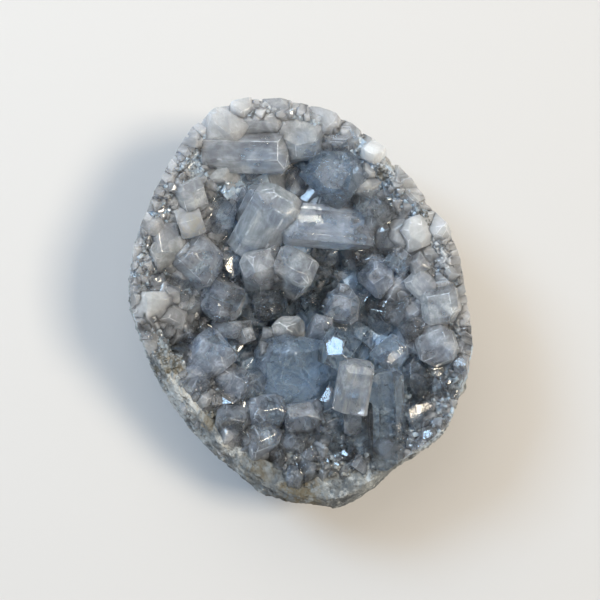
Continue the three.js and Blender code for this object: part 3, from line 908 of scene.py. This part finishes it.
# The crystals that stand out, by tip, turn, size, crown, look and how many smaller ones grew on each.
MAIN_CRYSTALS: tuple[tuple[Triple, Triple, Triple, Pair, Triple, int], ...] = (
    # The far side, hanging over the deepest part of the bowl.
    ((-3, 32.3, 34.4), (-2, 83, 12), (19, 10.4, 8), (0.5, 0.45), (0.9, 0.1, -0.1), 1),
    ((-16.5, 37, 34.5), (-85, 30, 8), (12, 9.6, 5.6), (0.5, 0.8), (0.2, 0, 0.2), 2),
    ((-19, 25.5, 31), (-88, 50, 0), (12, 5.8, 6), (0.4, 0.7), (0, 0, 0), 1),
    ((-13, 25.5, 28), (-95, 50, 0), (11, 9, 7), (0.3, 0.8), (-0.5, 0, 0), 2),
    ((0.6, 32, 36.6), (-82, 44, 0), (15, 12, 11), (0.3, 0.35), (0.9, 0, 0), 1),
    ((7.4, 33, 36), (-110, 42, 20), (12, 9, 8), (0.4, 0.6), (0.8, 0, 0), 1),
    ((12, 31.5, 34.5), (-120, 30, 0), (11, 6.5, 6), (0.4, 0.5), (0.6, 0, 0), 2),
    ((12.5, 19.8, 34), (214, 58, 0), (14, 8.5, 7), (0.2, 0.3), (0.1, 0.3, 0), 2),
    ((3, 25, 25), (-90, 30, 0), (10, 7, 6), (0.7, 0.8), (-1.2, 0, 0.3), 2),
    # The two pale blocks that cross in the upper middle, and their neighbours.
    ((-4.5, 23, 36.5), (58, 52, 6), (17, 11.2, 9), (0.5, 0.45), (0.9, 0, 0), 1),
    ((-4.5, 16.5, 33.4), (178, 74, 11), (20, 9.2, 7.5), (0.35, 0.55), (0.7, 0.1, 0), 0),
    ((-9, 8.2, 34.2), (100, 16, 8), (14, 9.4, 8.8), (0.5, 0.6), (0.8, 0, 0), 1),
    ((-1, 8, 34.6), (40, 22, 25), (14, 9.6, 8.4), (0.55, 0.55), (0.8, 0, 0), 1),
    ((-16.5, 18, 30.5), (-30, 36, 20), (12, 9, 9), (0.5, 0.6), (0, 0, -0.4), 1),
    ((10.5, 10.5, 27.5), (200, 30, 30), (11, 8, 8), (0.4, 0.5), (-0.8, 0, 0.2), 2),
    ((17.5, 16.5, 31.5), (190, 44, 10), (10, 7, 6), (0.4, 0.6), (-0.6, 0.4, 0), 2),
    # The left bank.
    ((-22.6, 21.8, 35.8), (-20, 40, 44), (12, 7.6, 6.8), (0.55, 0.5), (1, 0.2, -0.2), 0),
    ((-23.8, 13.6, 35.4), (-72, 56, 0), (12, 5.6, 5.5), (0.3, 0.4), (1.3, 0.9, -0.35), 0),
    ((-29.6, 13.4, 34.6), (0, 28, 10), (10, 7.2, 6), (0.8, 0.8), (0.9, 0.3, -0.2), 0),
    ((-20.5, 9, 33.8), (15, 34, 38), (13, 9.6, 9), (0.6, 0.6), (0.6, 0.2, -0.1), 1),
    ((-31.5, 7, 33), (5, 30, 30), (8, 4.5, 4.5), (0.5, 0.5), (0, 0, 0), 1),
    ((-33.5, 2.5, 32.5), (10, 35, 0), (8, 4, 4.5), (0.4, 0.6), (-0.3, 0, 0), 1),
    ((-26, 3, 31.5), (20, 35, 25), (9, 6, 6), (0.5, 0.5), (-0.2, 0, 0), 1),
    # The middle.
    ((-15.5, -1.5, 32), (-38, 38, 24), (13, 8.8, 8), (0.5, 0.75), (0.4, 0.15, 0), 2),
    ((-12, -7, 30), (-20, 30, 30), (8, 4.2, 4), (0.3, 0.3), (0.5, 0, 0), 1),
    ((-5.5, 0, 29.5), (10, 30, 0), (11, 6.2, 8), (0.6, 0.7), (-0.6, 0, 0), 2),
    ((-3, -6.5, 32), (60, 8, 30), (11, 7.4, 7.2), (0.12, 0.12), (1, 0, 0), 0),
    ((8.5, -0.5, 31.5), (150, 10, 20), (12, 7.6, 7.2), (0.55, 0.5), (0.1, 0, -0.4), 1),
    ((16, 5, 32), (190, 16, 35), (12, 7.6, 7), (0.45, 0.45), (0.2, 0, -0.4), 1),
    ((2, 0.5, 28), (80, 20, 45), (9, 5, 5), (0.3, 0.4), (-0.7, 0, 0), 1),
    # The lower left: a block turned up on end, and the broad block beside it.
    ((-18, -10, 32), (42, 48, 0), (16, 9.6, 9), (0.5, 0.65), (0.2, 0, -0.3), 1),
    ((-14.5, -15.5, 30.5), (62, 46, 0), (14, 8.5, 7), (0.5, 0.6), (0.1, 0, -0.3), 1),
    ((-26, -14, 29), (45, 40, 20), (9, 6, 5.5), (0.5, 0.5), (0.2, 0.2, 0), 1),
    ((-14.5, -24.5, 31), (70, 28, 15), (10, 8, 7.5), (0.5, 0.5), (0.2, 0, -0.5), 1),
    ((-8.5, -28.5, 31), (85, 30, 30), (10, 8, 7), (0.5, 0.5), (0.2, 0, -0.4), 1),
    ((-7.5, -22.6, 31.5), (80, 32, 24), (12, 8.4, 7.4), (0.5, 0.6), (0, 0, -0.4), 1),
    ((0.2, -24, 31), (95, 26, 4), (12, 8.8, 7.4), (0.5, 0.6), (0.1, 0, -0.4), 1),
    ((5.6, -25.4, 30.6), (90, 34, 30), (11, 6.4, 6.4), (0.5, 0.5), (0, 0, 0), 1),
    ((0.5, -26, 28.5), (95, 36, 10), (11, 9, 6.5), (0.4, 0.7), (-0.4, 0, 0), 2),
    # The pale upright block with its small neighbour, and the long dark prisms that run to the rim.
    ((11.5, -14, 37), (82, 66, 0), (11, 7.4, 6), (0.75, 0.7), (0.1, 0.6, -0.5), 0),
    ((11, -29.5, 31), (-88, 66, 0), (9, 3.8, 4), (0.2, 0.4), (0.5, 0.2, 0), 0),
    ((17.4, -15.5, 34.2), (94, 70, 0), (22, 8.4, 7.4), (0.6, 0.8), (-0.7, 0.1, -0.5), 0),
    ((12.2, -21.5, 31.5), (93, 68, 0), (15, 6, 5.4), (0.6, 0.8), (-0.9, 0.1, -0.5), 0),
    ((24, -22.5, 31.5), (120, 50, 10), (11, 6, 5.5), (0.4, 0.5), (-0.1, 0, 0), 1),
    ((18.5, -10, 32), (110, 34, 20), (12, 7.5, 7), (0.5, 0.5), (-0.2, 0.1, -0.4), 1),
    # The right bank.
    ((29, -1.5, 36), (180, 22, 8), (12, 8.6, 8.6), (0.65, 0.65), (0.9, 0, 0), 1),
    ((28, -9.5, 35), (172, 26, 25), (12, 9.2, 8.6), (0.6, 0.55), (0.8, 0.1, -0.1), 1),
    ((23, -6.5, 33), (180, 30, 30), (10, 5, 5), (0.4, 0.4), (0.1, 0, 0), 1),
    ((20.5, 8.5, 34), (200, 26, 30), (10, 5.6, 5.2), (0.5, 0.5), (0.4, 0.1, 0.1), 1),
    ((24.5, 7.5, 35), (200, 24, 10), (9, 4.4, 4.4), (0.4, 0.4), (1, 0.3, 0), 0),
    ((22.5, 21.5, 35.5), (225, 40, 0), (9, 5, 4), (0.6, 0.6), (1.2, 0.2, 0), 0),
    ((29.5, -18, 31.5), (160, 35, 30), (8, 5, 5), (0.5, 0.5), (0, 0.2, 0), 1),
    # Smaller ones among them.
    ((-23.4, 29.8, 32.5), (-60, 36, 20), (9, 5, 5), (0.5, 0.5), (0.1, 0, 0), 1),
    ((-22.8, 27, 29), (-40, 60, 0), (12, 7, 6), (0.4, 0.6), (-0.6, 0, 0), 2),
    ((-31.8, 18.5, 33.5), (-20, 40, 0), (8, 3, 4), (0.3, 0.3), (0.7, 0.2, 0), 0),
    ((-33, 10, 32.5), (0, 40, 20), (7, 4, 4), (0.4, 0.4), (0.4, 0.3, 0), 1),
    ((-1.2, 31.4, 30), (-70, 40, 0), (6, 2.8, 3), (0.4, 0.4), (2, 1.4, 0), 0),
    ((7.3, 23.3, 29.5), (180, 60, 0), (10, 4, 4), (0.4, 0.6), (-0.7, 0.2, 0), 1),
    ((-13.7, -6.7, 31), (-10, 50, 20), (7, 3.6, 3), (0.4, 0.5), (0.6, 0, 0), 0),
    ((-11.1, -7.4, 31), (20, 40, 0), (7, 3.2, 3), (0.4, 0.5), (0.8, 0, 0), 0),
    ((-7.6, -6.8, 30.5), (80, 24, 0), (7, 2.6, 3), (0.3, 0.4), (0.9, 0, 0), 0),
    ((-7.6, -10.2, 31), (60, 20, 30), (7, 3.4, 3.4), (0.6, 0.6), (0.7, 0, 0), 0),
    ((4.9, -4.4, 31.5), (60, 26, 20), (8, 4, 4), (0.3, 0.4), (0.4, 0.1, 0), 1),
    ((23.6, -6.3, 33), (170, 34, 20), (9, 4.6, 5), (0.5, 0.5), (0.4, 0, 0), 1),
    ((-13.9, -25.7, 30.5), (60, 40, 0), (10, 5.4, 6), (0.6, 0.6), (-0.1, 0, 0), 1),
    ((8.6, -28, 28.5), (88, 50, 10), (11, 5, 5), (0.5, 0.5), (-1.2, 0, 0), 1),
    ((10.7, 10.4, 28.5), (180, 30, 10), (10, 6.5, 6), (0.5, 0.5), (-0.6, 0, 0), 2),
)

# The three crystals whose end faces are set one by one.
LARGE_CRYSTALS: tuple[Crystal, ...] = (
    # The broad pyramid in the lower middle, with low faces that meet near its upper edge.
    Crystal(
        tip=(-2.5, -17.5, 34.3),
        turn=(-100, 4, 0),
        size=(14, 19, 17),
        crown=(0.0, 0.0),
        look=Look(-0.6, 0, -0.95),
        seed=31,
        facets=(
            *((64, 4.8, 50), (-20, -0.9, 34), (205, -0.9, 36)),
            *((262, -4.3, 24), (130, 4.6, 46), (-70, -3.0, 30)),
        ),
    ),
    # The crystal whose end is a bright pentagon.
    Crystal(
        tip=(6.6, -11.4, 35),
        turn=(153.3, 23.6, 0),
        size=(15, 8.4, 8.2),
        crown=(1.0, 1.0),
        look=Look(-0.1, 0, 0.3),
        seed=32,
        wear=0,
        facets=((61, 2.15, 42), (-4, 2.2, 46), (-90, 2.1, 46), (193, 2.0, 44), (132, 2.05, 40)),
    ),
    # The darker dome with triangular growth marks.
    Crystal(
        tip=(6.3, 26.3, 37),
        turn=(200, 12, 25),
        size=(15, 12.4, 12),
        crown=(1.0, 1.0),
        look=Look(-0.4, 0, -0.6),
        seed=33,
        facets=(
            *((30, 3.4, 40), (88, 3.0, 36), (150, 3.6, 42)),
            *((212, 3.2, 38), (268, 3.6, 44), (330, 3.2, 36)),
        ),
    ),
)


@dataclass(frozen=True)
class Layer:
    """One sowing of crystals between the main ones."""

    tries: int
    widths: Pair  # from the least to the greatest
    rises: Pair  # how far they stand over the crust
    inner: float = 0.0  # the share of the mouth's radius that they start from


@dataclass
class CrystalCrust:
    """Every crystal in the bowl."""

    STEP_LENGTH: ClassVar[float] = 0.6  # the share of a crystal's length that one grown on it has

    bowl: Bowl
    broad_main: float = 6.2  # wider ones have their upright corners cut
    broad_host: float = 6  # so have the smaller ones on wider ones than this
    broad_cobble: float = 4
    wall_lean: float = 46  # how far crystals at the wall lean inwards, in degrees
    lean_spread: float = 14
    heading_spread: float = 50
    root: float = 7  # how deep a crystal stands in the crust
    gap_sink: float = 4  # how much deeper it stands in an open gap
    outer: float = 1.03  # the share of the mouth's radius that crystals reach to
    bare_start: float = 0.97  # the share from which none stand where no crust lies over the rim
    stain_limit: float = 0.35  # on a darker stain no small one stands
    room: float = 0.3  # the share of a main crystal's width that is kept free round its axis
    wide_room: float = 0.45  # the same for a main crystal whose end faces are set
    cobbles: tuple[Layer, ...] = (Layer(170, (6.8, 10.4), (1.5, 4.6)), Layer(260, (4.4, 6.6), (1.0, 3.2)))
    smalls: tuple[Layer, ...] = (
        Layer(1000, (2.6, 4.6), (0.5, 1.9), 0.7),
        Layer(2200, (2.6, 4.6), (0.8, 2.4), 0.76),
    )
    main_seed: int = 100
    step_seed: int = 700
    mains: list[Crystal] = field(default_factory=list)

    def __post_init__(self) -> None:
        """Set out the main crystals."""
        for seed, (tip, turn, size, crown, look, steps) in enumerate(MAIN_CRYSTALS, self.main_seed):
            place = tuple(Vector(tip) + MAIN_SHIFT)
            blunt = size[1] > self.broad_main
            self.mains.append(Crystal(place, turn, size, crown, Look(*look), blunt, seed, steps))
        self.mains.extend(LARGE_CRYSTALS)

    def steps(self, crystal: Crystal, chance: Chance) -> Iterator[Crystal]:
        """Grow smaller crystals on one, in almost the same direction.

        Args:
            crystal: The crystal that they grow on.
            chance: Where their differences come from.

        Yields:
            The smaller crystals.
        """
        length, width, depth = crystal.size
        for k in range(crystal.steps):
            share = chance.between(0.3, 0.6)
            side = 1 if chance.between(0, 1) < 0.5 else -1
            across = chance.between(-0.3, 0.3) * depth
            beside = side * chance.between(0.2, 0.42) * width
            below = chance.between(0.08, 0.3) * length * self.STEP_LENGTH
            tip = crystal.matrix() @ Vector((across, beside, -below))
            turn = tuple(angle + chance.between(-4, 4) for angle in crystal.turn)
            thickness = depth * min(0.9, share * chance.between(0.8, 1.3))
            crown = (chance.between(0.1, 0.7), chance.between(0.1, 0.7))
            look = replace(crystal.look, pale=crystal.look.pale + chance.between(-0.2, 0.2))
            yield Crystal(
                tip=tuple(tip),
                turn=turn,
                size=(length * self.STEP_LENGTH, width * share, thickness),
                crown=crown,
                look=look,
                blunt=width > self.broad_host,
                seed=crystal.seed * 7 + k,
            )

    def strewn(self, tries: int) -> Iterator[tuple[Vector, float, float, Chance]]:
        """Set out places on the crust in a sunflower spiral.

        Args:
            tries: How many there are.

        Yields:
            The place, its angle, its share of the mouth's radius and its chance.
        """
        seed = 61 * tries
        for i in range(tries):
            chance = Chance(seed + 71 * i)
            angle = i * GOLDEN_ANGLE + seed + chance.between(-0.1, 0.1)
            share = self.outer * math.sqrt((i + 0.5) / tries)
            yield self.bowl.face(angle, share), angle, share, chance

    def mood(self, place: Vector, share: float, chance: Chance) -> Look:
        """Choose the look of a crystal: paler towards the rim and the far side, and ivory on stains.

        Args:
            place: Where it stands.
            share: The place's share of the mouth's radius.
            chance: Where its difference comes from.

        Returns:
            The look.
        """
        frost, stain = patched(FROSTS, place), patched(STAINS, place)
        pale = 1.7 * share**2 - 0.6 + 0.022 * place.y + chance.between(-0.4, 0.4) + 0.6 * frost
        return Look(pale, 0.2 * frost + 0.8 * stain, chance.between(-0.6, 0.2) - 0.4 * frost)

    def sown(self, layer: Layer) -> Iterator[Crystal]:
        """Sow crystals between the main ones.

        Args:
            layer: How many places are tried, and the crystals' sizes.

        Yields:
            The crystals, smaller towards the rim.
        """
        for place, angle, share, chance in self.strewn(layer.tries):
            cover = self.bowl.cover(place)
            if share < layer.inner or (share > self.bare_start and cover < 0.5):
                continue
            if any(main.covers(place, self.wide_room if main.facets else self.room) for main in self.mains):
                continue
            grainy = share >= around(self.bowl.grain_starts, angle)
            shrunk = 0.5 if grainy else 1
            across = chance.between(*layer.widths) * shrunk
            if across < self.broad_cobble and patched(STAINS, place) > self.stain_limit:
                continue
            broad = across > self.broad_cobble
            ground = self.bowl.crust(place, share) if grainy else -self.gap_sink * patched(GAPS_AND_PAINTED_SHADE, place)
            rise = chance.between(*layer.rises) * shrunk + ground
            heading = math.degrees(angle) + 180 + chance.between(-self.heading_spread, self.heading_spread)
            lean_change = chance.between(-self.lean_spread, self.lean_spread)
            lean = self.wall_lean * min(share, 2 - share) + lean_change
            size = (rise + self.root, across, across * chance.between(0.75, 1))
            crown = (chance.between(0.25, 0.65), chance.between(0.25, 0.7))
            look = self.mood(place, share, chance)
            yield Crystal(
                tip=tuple(place + Vector((0, 0, rise))),
                turn=(heading, lean, chance.between(0, 180)),
                size=size,
                crown=crown,
                look=look,
                blunt=broad,
                seed=int(place.x * 97 + 9000),
                wear=0.035 if broad else 0.02,
            )

    def build(self, finish: bpy.types.Material) -> None:
        """Build the crystals, which stand for the construction's crust.

        Args:
            finish: Their material.
        """
        large = Grove(self.bowl, edge=0.032, edge_segments=3)
        for i, crystal in enumerate(self.mains):
            large.add(crystal)
            for step in self.steps(crystal, Chance(self.step_seed + i)):
                large.add(step)
        middling = Grove(self.bowl, edge=0.035, merge=0.2)
        small = Grove(self.bowl, edge=0.04, edge_segments=1, merge=0.12)
        for grove, layers in ((middling, self.cobbles), (small, self.smalls)):
            for layer in layers:
                for crystal in self.sown(layer):
                    grove.add(crystal)
        groves = {"main_crystals": large, "cobble_crystals": middling, "small_crystals": small}
        for name, grove in groves.items():
            piece = grove.piece(name, finish)
            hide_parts("crystal_crust")


@dataclass
class Druse:
    """Sugary grains strewn over the crust's edge and the rind, each a copy of one of a few templates."""

    bowl: Bowl
    kinds: int = 12
    tries: int = 9000
    inner: float = 0.7
    outer: float = 1.12
    widths: Pair = (0.35, 1.05)
    tumble: float = 1.1  # how far a grain leans aside, in radians
    bed: float = 0.6  # how high its tip stands over the crust, as a share of its width
    sparse: float = 0.25  # how many of the grains are left on the crystals' ground and on bare rock
    kind_seed: int = 400
    block_seed: int = 50
    grain_seed: int = 88000

    def templates(self) -> list[bpy.types.Mesh]:
        """Build small crystals of unit width.

        Returns:
            Their meshes, one of each kind.
        """
        meshes = []
        for kind in range(self.kinds):
            chance = Chance(self.kind_seed + kind)
            size = (1.6, 1, chance.between(0.6, 1))
            crown = (chance.between(0.1, 0.7), chance.between(0.1, 0.8))
            seed = self.block_seed + kind
            block = Crystal((0, 0, 0), (0, 0, 0), size, crown, blunt=False, seed=seed, wear=0).body()
            bmesh.ops.remove_doubles(block, verts=block.verts, dist=0.04)
            mesh = bpy.data.meshes.new("template")
            block.to_mesh(mesh)
            block.free()
            meshes.append(mesh)
        return meshes

    def build(self, finish: bpy.types.Material) -> None:
        """Build the grains.

        Args:
            finish: Their material.
        """
        templates = self.templates()
        heap = bmesh.new()
        for i in range(self.tries):
            chance = Chance(self.grain_seed + 53 * i)
            angle = chance.between(-math.pi, math.pi)
            share = math.sqrt(chance.between(self.inner**2, self.outer**2))
            place = self.bowl.face(angle, share)
            cover = self.bowl.cover(place)
            if share < around(self.bowl.grain_starts, angle):
                density = self.sparse + patched(FROSTS, place)
            else:
                density = 1 - 0.9 * (1 - cover)
            if chance.between(0, 1) > density:
                continue
            if share > 1 and chance.between(0, 1) > self.sparse + (1 - self.sparse) * cover:
                continue
            width = chance.between(*self.widths)
            lean = 40 * share if share < 1 else -20 - 300 * (share - 1)
            tip = place + Vector((0, 0, self.bowl.crust(place, share) + self.bed * width))
            turned = Crystal(tuple(tip), (math.degrees(angle) + 180, lean, 0), (1, 1, 1), (1, 1)).matrix()
            aside = Matrix.Rotation(chance.between(-self.tumble, self.tumble), 4, "X")
            tumbled = turned @ (aside @ Matrix.Rotation(chance.between(0, 6.3), 4, "Z"))
            grain = templates[i % self.kinds].copy()
            grain.transform(tumbled @ Matrix.Scale(width, 4))
            heap.from_mesh(grain)
            bpy.data.meshes.remove(grain)
        for mesh in templates:
            bpy.data.meshes.remove(mesh)
        write_ground(heap, self.bowl)
        piece = make_piece("druse", heap, finish)
        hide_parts("crystal_crust")


def write_ground(shape: bmesh.types.BMesh, bowl: Bowl) -> None:
    """Write on a shape how crystalline, how frosted (less a painted shade in the open gaps) and how stained
    the nodule is at each corner.

    Args:
        shape: The shape, in the construction's millimetres.
        bowl: The nodule's form.
    """
    ground = shape.verts.layers.float_vector.new("ground")
    for corner in shape.verts:
        share = bowl.share(corner.co)
        below = bowl.rim_height(math.atan2(corner.co.y, corner.co.x)) - corner.co.z
        bare = (1 - bowl.cover(corner.co)) * ramp(share, 0.84, 0.12)
        lining = share < 0.97 and below < 20
        crystalline = (1 - bare) * (1.0 if lining else 1 - ramp(below, 1, 5))
        sugar = max(0.0, share - 0.75) * (1.4 + 0.03 * corner.co.y)
        # Painted shade: the open gaps take frost away, so the crust and rind colour is darker in them.
        frost = patched(FROSTS, corner.co) - patched(GAPS_AND_PAINTED_SHADE, corner.co) + min(0.25, sugar)
        corner[ground] = (crystalline, frost, patched(STAINS, corner.co))


@dataclass
class Nodule:
    """The nodule's massive body: the crust under the crystals and the rock skin."""

    bowl: Bowl
    dish_steps: int = 240
    dish_reach: float = 1.09  # its edge, as a share of the mouth's radius
    hem_scale: float = 0.9
    hem_drop: float = 7
    skin_merge: float = 0.01
    skin_cuts: int = 9
    skin_rounds: int = 4  # how often it is smoothed
    outer_share: float = 0.995  # the share of the mouth's radius that the shell's outside starts from
    floor_height: float = 11  # the lowest place of the shell's inside
    inner_drop: float = 4  # how far the skin's inside keeps below the crust
    inner_share: float = 0.99

    def dish(self, finish: bpy.types.Material) -> None:
        """Build the massive celestite as a rough dish that laps over the rim.

        Args:
            finish: Its material.
        """
        dish = bmesh.new()
        bmesh.ops.create_grid(dish, x_segments=self.dish_steps, y_segments=self.dish_steps, size=1)
        for corner in dish.verts:
            share = self.dish_reach * max(abs(corner.co.x), abs(corner.co.y))
            angle = math.atan2(corner.co.y, corner.co.x)
            place = self.bowl.face(angle, share)
            corner.co = place + Vector((0, 0, self.bowl.crust(place, share)))
        border = [edge for edge in dish.edges if edge.is_boundary]
        skirt = bmesh.ops.extrude_edge_only(dish, edges=border)["geom"]
        hem = [item for item in skirt if isinstance(item, bmesh.types.BMVert)]
        bmesh.ops.scale(dish, vec=(self.hem_scale, self.hem_scale, 1), verts=hem)
        bmesh.ops.translate(dish, vec=(0, 0, -self.hem_drop), verts=hem)
        bmesh.ops.holes_fill(dish, edges=[edge for edge in dish.edges if edge.is_boundary])
        bmesh.ops.recalc_face_normals(dish, faces=dish.faces)
        write_ground(dish, self.bowl)
        piece = make_piece("massive_celestite", dish, finish)
        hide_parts("crystal_crust")

    def skin(self, finish: bpy.types.Material) -> None:
        """Build the rock skin over the construction's shell, with its grain, pits and ledges.

        Args:
            finish: Its material.
        """
        skin = bmesh.new()
        skin.from_mesh(bpy.data.objects["rock_shell"].data)
        bmesh.ops.scale(skin, vec=(1 / MM, 1 / MM, 1 / MM), verts=skin.verts)
        bmesh.ops.translate(skin, vec=OUTLINE_MIDDLE, verts=skin.verts)
        bmesh.ops.remove_doubles(skin, verts=skin.verts, dist=self.skin_merge)
        outer = [edge for edge in skin.edges if all(self.is_outer(corner.co) for corner in edge.verts)]
        bmesh.ops.subdivide_edges(skin, edges=outer, cuts=self.skin_cuts, use_grid_fill=True)
        bmesh.ops.triangulate(skin, faces=[face for face in skin.faces if len(face.verts) > 4])
        every_axis = {"use_axis_x": True, "use_axis_y": True, "use_axis_z": True}
        for _ in range(self.skin_rounds):
            upper = [corner for corner in skin.verts if corner.co.z > 1 and self.is_outer(corner.co)]
            bmesh.ops.smooth_vert(skin, verts=upper, factor=0.5, **every_axis)
        skin.normal_update()
        places = [corner.co + corner.normal * self.relief(corner.co) for corner in skin.verts]
        for corner, place in zip(skin.verts, places):
            if place.z > self.bowl.widest_height and self.bowl.share(place) < self.inner_share:
                place = place - Vector((0, 0, self.inner_drop))
            corner.co = place if place.z > 0 else (place.x, place.y, 0)
        write_ground(skin, self.bowl)
        piece = make_piece("rock_skin", skin, finish)
        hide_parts("rock_shell")

    def is_outer(self, place: Vector) -> bool:
        """Return whether a place is on the outside of the shell."""
        return self.bowl.share(place) > self.outer_share or place.z < self.floor_height

    def relief(self, place: Vector) -> float:
        """Work out the skin's grain and ledges; its inside and its flat spot have none.

        Args:
            place: The place on the shell.

        Returns:
            How far the skin stands out there.
        """
        if not self.is_outer(place) or place.z < 0.5:
            return 0
        rough = noise.fractal(place / 3.5, 0.8, 2.1, 5) * 0.45
        grain = 0.45 * chips(place, 1.6) + 0.25 * chips(place, 0.8)
        ledge = 0.3 * abs(math.sin(place.z * 1.1 + 2.5 * noise.noise(place / 8))) - 0.15
        return rough + grain + ledge


def chips(place: Vector, size: float) -> float:
    """Work out a surface of tilted flat chips.

    Args:
        place: The place.
        size: The chips' size.

    Returns:
        The surface's height there.
    """
    cells = noise.voronoi(place / size)[1]
    tilt = noise.cell_vector(cells[0] * 7.3) - Vector((0.5, 0.5, 0.5))
    away = place / size - cells[0]
    return size * (tilt.dot(away) + 0.25 * tilt.z)


# ---- Studio -------------------------------------------------------------------------------------------


@dataclass(frozen=True)
class Lamp:
    """A square soft light that shines at the frame's origin."""

    name: str
    towards: float  # the direction that it stands in, in degrees from +X
    height: float  # its elevation in degrees
    away: float  # its distance in metres
    side: float  # in metres
    power: float  # in watts
    tone: Triple

    def hang(self) -> None:
        """Hang the light."""
        data = bpy.data.lights.new(self.name, "AREA")
        data.shape = "SQUARE"
        data.size = self.side
        data.energy = self.power
        data.color = self.tone
        lamp = bpy.data.objects.new(self.name, data)
        turn, tilt = math.radians(self.towards), math.radians(self.height)
        out = Vector((math.cos(turn) * math.cos(tilt), math.sin(turn) * math.cos(tilt), math.sin(tilt)))
        lamp.location = out * self.away
        lamp.rotation_euler = out.to_track_quat("Z", "Y").to_euler()
        bpy.context.scene.collection.objects.link(lamp)


@dataclass
class Studio:
    """The floor, the lights and the camera."""

    azimuth: float = -25
    elevation: float = 84
    distance: float = 300
    target: Triple = (0.2, 1.25, 20)
    frame_width: float = 137.0  # what the picture's width shows at the target
    sensor: float = 36.0
    floor_reach: float = 1.5  # in metres
    lamps: tuple[Lamp, ...] = (
        Lamp("key", 0, 59, 2.5, 0.66, 42.0, (1.0, 0.88, 0.70)),
        Lamp("fill", 147, 46, 1.5, 0.46, 11.3, (0.46, 0.71, 1.0)),
        Lamp("ceiling", 120, 55, 0.5, 0.45, 1.02, (1.0, 0.95, 0.87)),
    )
    room_tone: Colour = (0.96, 0.97, 1.0, 1)
    room_strength: float = 0.325

    def floor(self) -> None:
        """Build the floor."""
        sheet = bmesh.new()
        bmesh.ops.create_grid(sheet, x_segments=1, y_segments=1, size=self.floor_reach)
        mesh = bpy.data.meshes.new("floor")
        sheet.to_mesh(mesh)
        sheet.free()
        mesh.materials.append(FloorFinish().material())
        floor = bpy.data.objects.new("floor", mesh)
        bpy.context.scene.collection.objects.link(floor)
        floor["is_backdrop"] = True

    def camera(self) -> None:
        """Set the camera high over the near left, with +Y up in the picture."""
        turn, tilt = math.radians(self.azimuth), math.radians(self.elevation)
        back = Vector((math.sin(turn) * math.cos(tilt), -math.cos(turn) * math.cos(tilt), math.sin(tilt)))
        right = Vector((0, 1, 0)).cross(back).normalized()
        up = back.cross(right)
        data = bpy.data.cameras.new("camera")
        data.sensor_width = self.sensor
        data.lens = self.sensor * self.distance / self.frame_width
        data.clip_start = 0.01
        camera = bpy.data.objects.new("camera", data)
        place = (Vector(self.target) + back * self.distance) * MM
        camera.matrix_world = Matrix.Translation(place) @ Matrix((right, up, back)).transposed().to_4x4()
        bpy.context.scene.collection.objects.link(camera)
        bpy.context.scene.camera = camera

    def lights(self) -> None:
        """Hang the lights and set the room's glow."""
        for lamp in self.lamps:
            lamp.hang()
        world = bpy.data.worlds.new("room")
        world.use_nodes = True
        glow = world.node_tree.nodes["Background"]
        glow.inputs["Color"].default_value = self.room_tone
        glow.inputs["Strength"].default_value = self.room_strength
        bpy.context.scene.world = world
        bpy.context.scene.view_settings.view_transform = "Standard"

    def light_paths(self) -> None:
        """Let light pass through many crystals, one behind the other."""
        cycles = bpy.context.scene.cycles
        cycles.use_denoising = True
        cycles.max_bounces = 24
        cycles.transmission_bounces = 24
        cycles.diffuse_bounces = 6
        cycles.glossy_bounces = 8
        cycles.sample_clamp_indirect = 40

    def build(self) -> None:
        """Build the whole studio."""
        self.floor()
        self.camera()
        self.lights()
        self.light_paths()


def write_sizes() -> None:
    """Work out the construction's box and the finished model's; nothing is written."""
    boxes = {"cad": CAD_BOX, "visual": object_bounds()}
    {name: [list(corner) for corner in box] for name, box in boxes.items()}


def main() -> None:
    """Build the geode and its studio."""
    logging.basicConfig(level=logging.INFO, format="%(name)s: %(message)s")
    bowl = Bowl()
    matrix = MatrixFinish().material()
    nodule = Nodule(bowl)
    nodule.skin(matrix)
    nodule.dish(matrix)
    Druse(bowl).build(matrix)
    CrystalCrust(bowl).build(CelestiteFinish().material())
    Studio().build()
    write_sizes()


if __name__ == "__main__":
    main()
